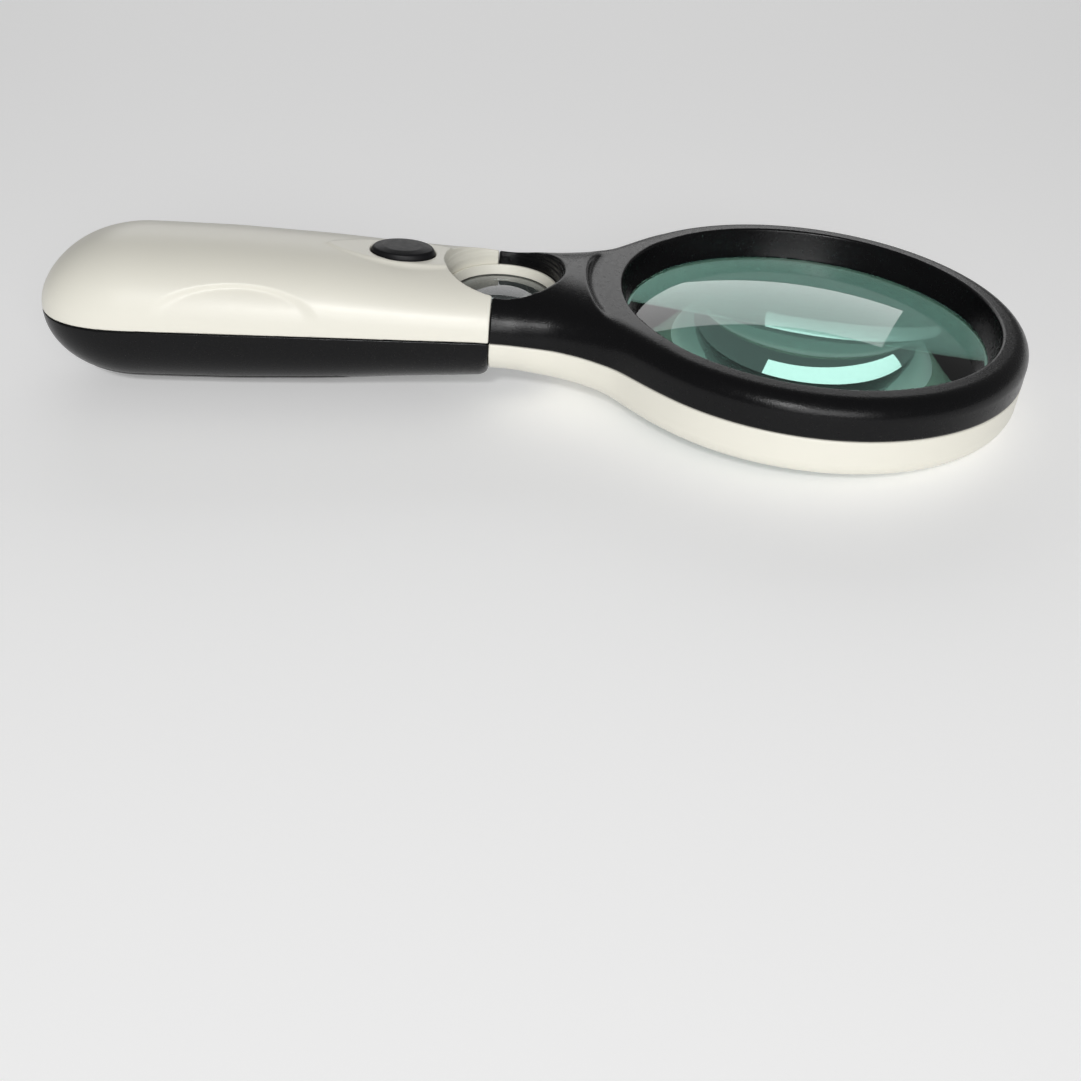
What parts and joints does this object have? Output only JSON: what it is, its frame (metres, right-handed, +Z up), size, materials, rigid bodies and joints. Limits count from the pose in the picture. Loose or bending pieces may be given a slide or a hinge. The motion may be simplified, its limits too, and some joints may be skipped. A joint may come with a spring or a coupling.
{
  "type": "low vision magnifier",
  "caption": "Hand-held low vision magnifier with a large round reading lens, a small strong loupe in the neck, built-in lamps, a push button and a battery handle.",
  "frame": {"origin": "centre of the bounding box on the table the magnifier rests on", "axes": "+X from the handle towards the reading lens, +Z up, button side upwards"},
  "size_m": [0.2042, 0.09, 0.0303],
  "materials": {
    "ivory_shell": "satin",
    "black_shell": "fine satin texture",
    "lens_glass": "polished",
    "black_trim": "satin",
    "cell_sleeve": "satin",
    "contact_metal": "bright",
    "board_green": "satin",
    "screw_metal": "satin",
    "lamp_clear": "polished",
    "wire_red": "satin",
    "wire_black": "satin",
    "component_grey": "satin"
  },
  "bodies": {
    "housing": {"handle_top_shell": "ivory_shell", "handle_bottom_shell": "black_shell", "frame_top_shell": "black_shell", "frame_bottom_shell": "ivory_shell", "main_lens": "lens_glass", "loupe_lens": "lens_glass", "loupe_tube": "black_trim", "loupe_retaining_ring": "ivory_shell", "switch_spring": "contact_metal", "switch_body": "component_grey", "circuit_board": "board_green", "board_screws": "screw_metal", "resistors": "component_grey", "battery_cradle": "black_trim", "battery_upper": "cell_sleeve", "battery_left": "cell_sleeve", "battery_right": "cell_sleeve", "contact_plates": "contact_metal", "contact_springs": "contact_metal", "led_left": "lamp_clear", "led_right": "lamp_clear", "led_loupe": "lamp_clear", "led_board": "board_green", "loupe_lamp_holder": "black_trim", "battery_wire_red": "wire_red", "battery_wire_black": "wire_black", "lamp_wires": "wire_red", "loupe_lamp_wire": "wire_black"},
    "button": {"switch_button": "black_trim", "switch_plunger": "black_trim"},
    "door": {"battery_door": "black_shell"}
  },
  "joints": [
    {"name": "button_press", "type": "slide", "parent": "housing", "child": "button", "axis": [-0.0595, 0, -0.9982], "range_m": [0, 0.0012], "stiffness_N_per_m": 600, "springref_m": -0.0012, "deforming": ["switch_spring"]},
    {"name": "door_hinge", "type": "hinge", "parent": "housing", "child": "door", "pos_m": [-0.03687, 0, 0.00107], "axis": [0, -1, 0], "range_deg": [0, 70]}
  ]
}
